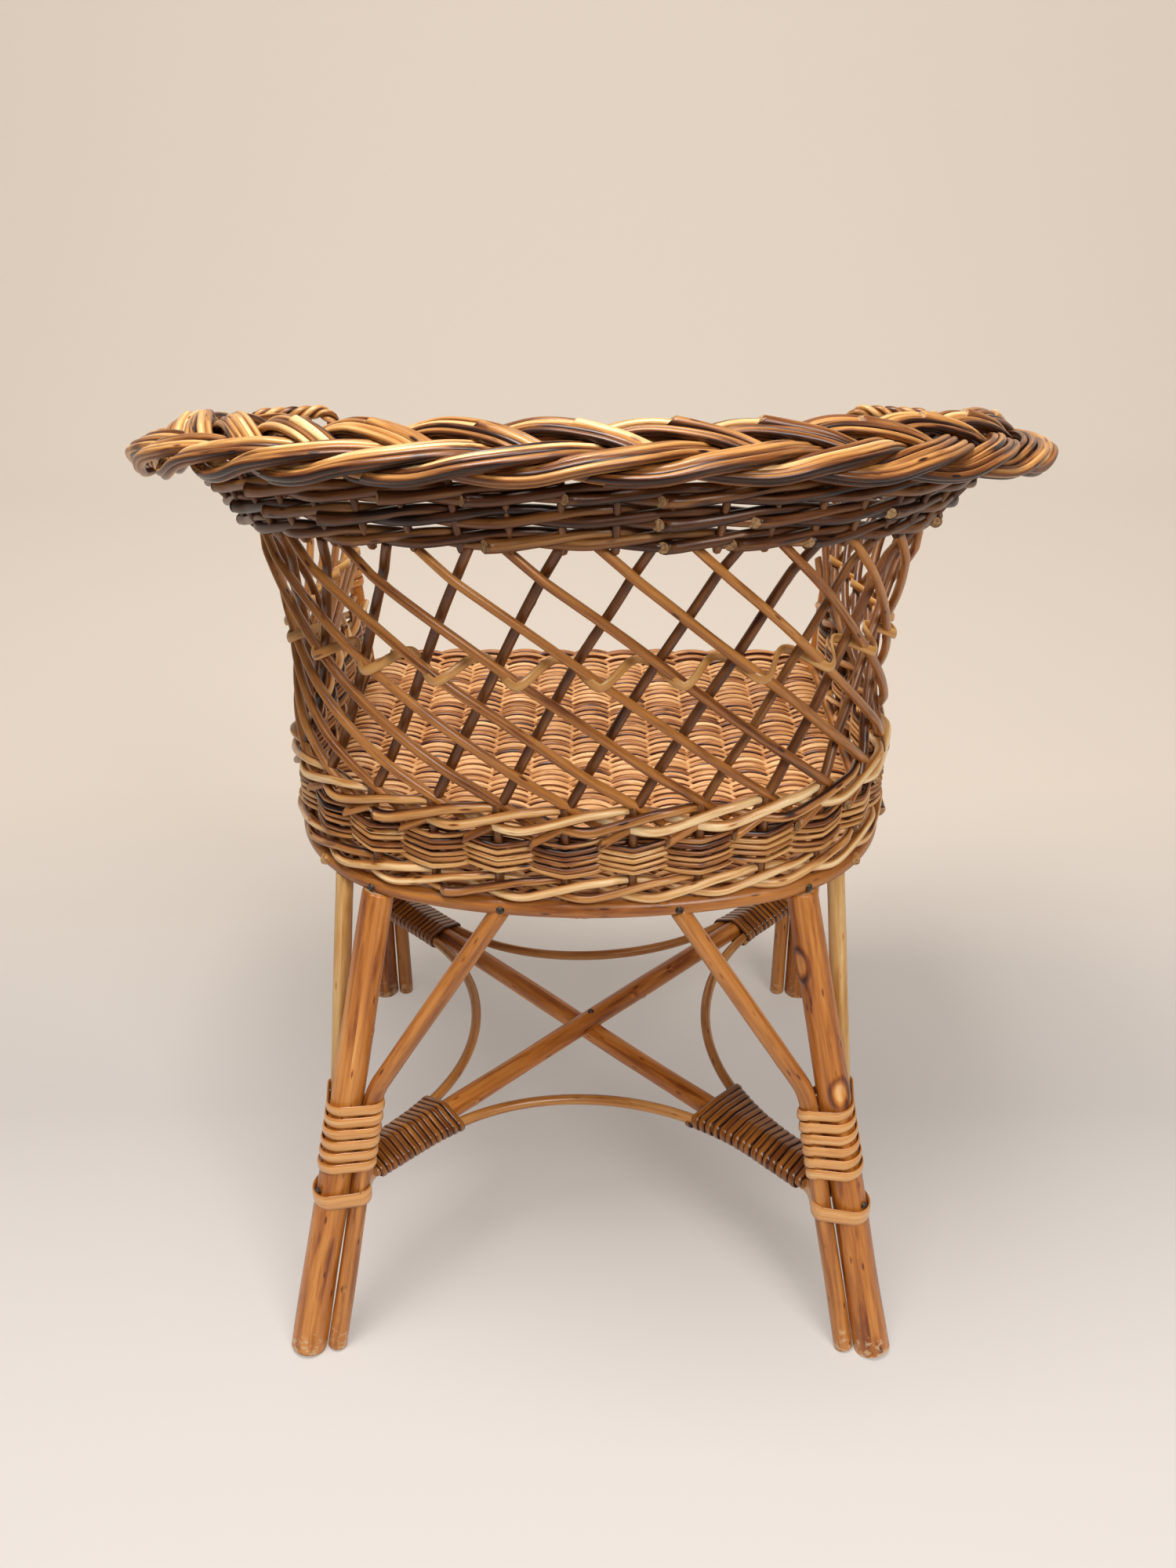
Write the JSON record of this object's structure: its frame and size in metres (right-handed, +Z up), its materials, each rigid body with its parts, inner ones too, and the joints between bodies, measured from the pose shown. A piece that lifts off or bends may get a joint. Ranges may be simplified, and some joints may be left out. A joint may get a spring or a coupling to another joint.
{
  "type": "child wicker armchair",
  "caption": "Child's tub armchair of willow poles with a woven seat and wall, an open lattice back, a plaited rim and crossed stretchers bound with split cane.",
  "frame": {"origin": "middle of the bounding box's footprint, on the floor", "axes": "+Z up, -Y out of the open front, +X towards the sitter's left"},
  "size_m": [0.4891, 0.3772, 0.5417],
  "materials": {
    "pole": "gloss",
    "rod": "gloss",
    "inner_rod": "gloss",
    "wale": "gloss",
    "seat": "gloss",
    "cane": "gloss",
    "nail": "satin"
  },
  "bodies": {
    "root": {"leg_back_left": "pole", "leg_back_right": "pole", "leg_front_left": "pole", "leg_front_right": "pole", "brace_back_left": "pole", "brace_back_right": "pole", "brace_front_left": "pole", "brace_front_right": "pole", "side_brace_back_left": "pole", "side_brace_back_right": "pole", "side_brace_front_left": "pole", "side_brace_front_right": "pole", "stretcher_upper": "pole", "stretcher_lower": "pole", "bow_back": "rod", "bow_front": "rod", "bow_left": "rod", "bow_right": "rod", "leg_binding_back_left": "cane", "leg_binding_back_right": "cane", "leg_binding_front_left": "cane", "leg_binding_front_right": "cane", "stretcher_binding_back_left": "cane", "stretcher_binding_back_right": "cane", "stretcher_binding_front_left": "cane", "stretcher_binding_front_right": "cane", "collar_back_left": "cane", "collar_back_right": "cane", "collar_front_left": "cane", "collar_front_right": "cane", "seat_hoop": "pole", "seat_rods": "seat", "seat_weave": "seat", "wall_stakes": "rod", "wall_base_wale": "wale", "wall_weave": "wale", "wall_top_wale": "wale", "lattice_outer_rods": "rod", "lattice_inner_rods": "inner_rod", "lattice_twining": "cane", "upper_wale_lower": "wale", "upper_wale_middle": "wale", "upper_wale_top": "wale", "rim_plait": "wale", "arm_post_left": "pole", "arm_post_right": "pole", "post_binding_left": "cane", "post_binding_right": "cane", "arm_border_left": "wale", "arm_border_right": "wale", "nails": "nail"}
  },
  "joints": []
}
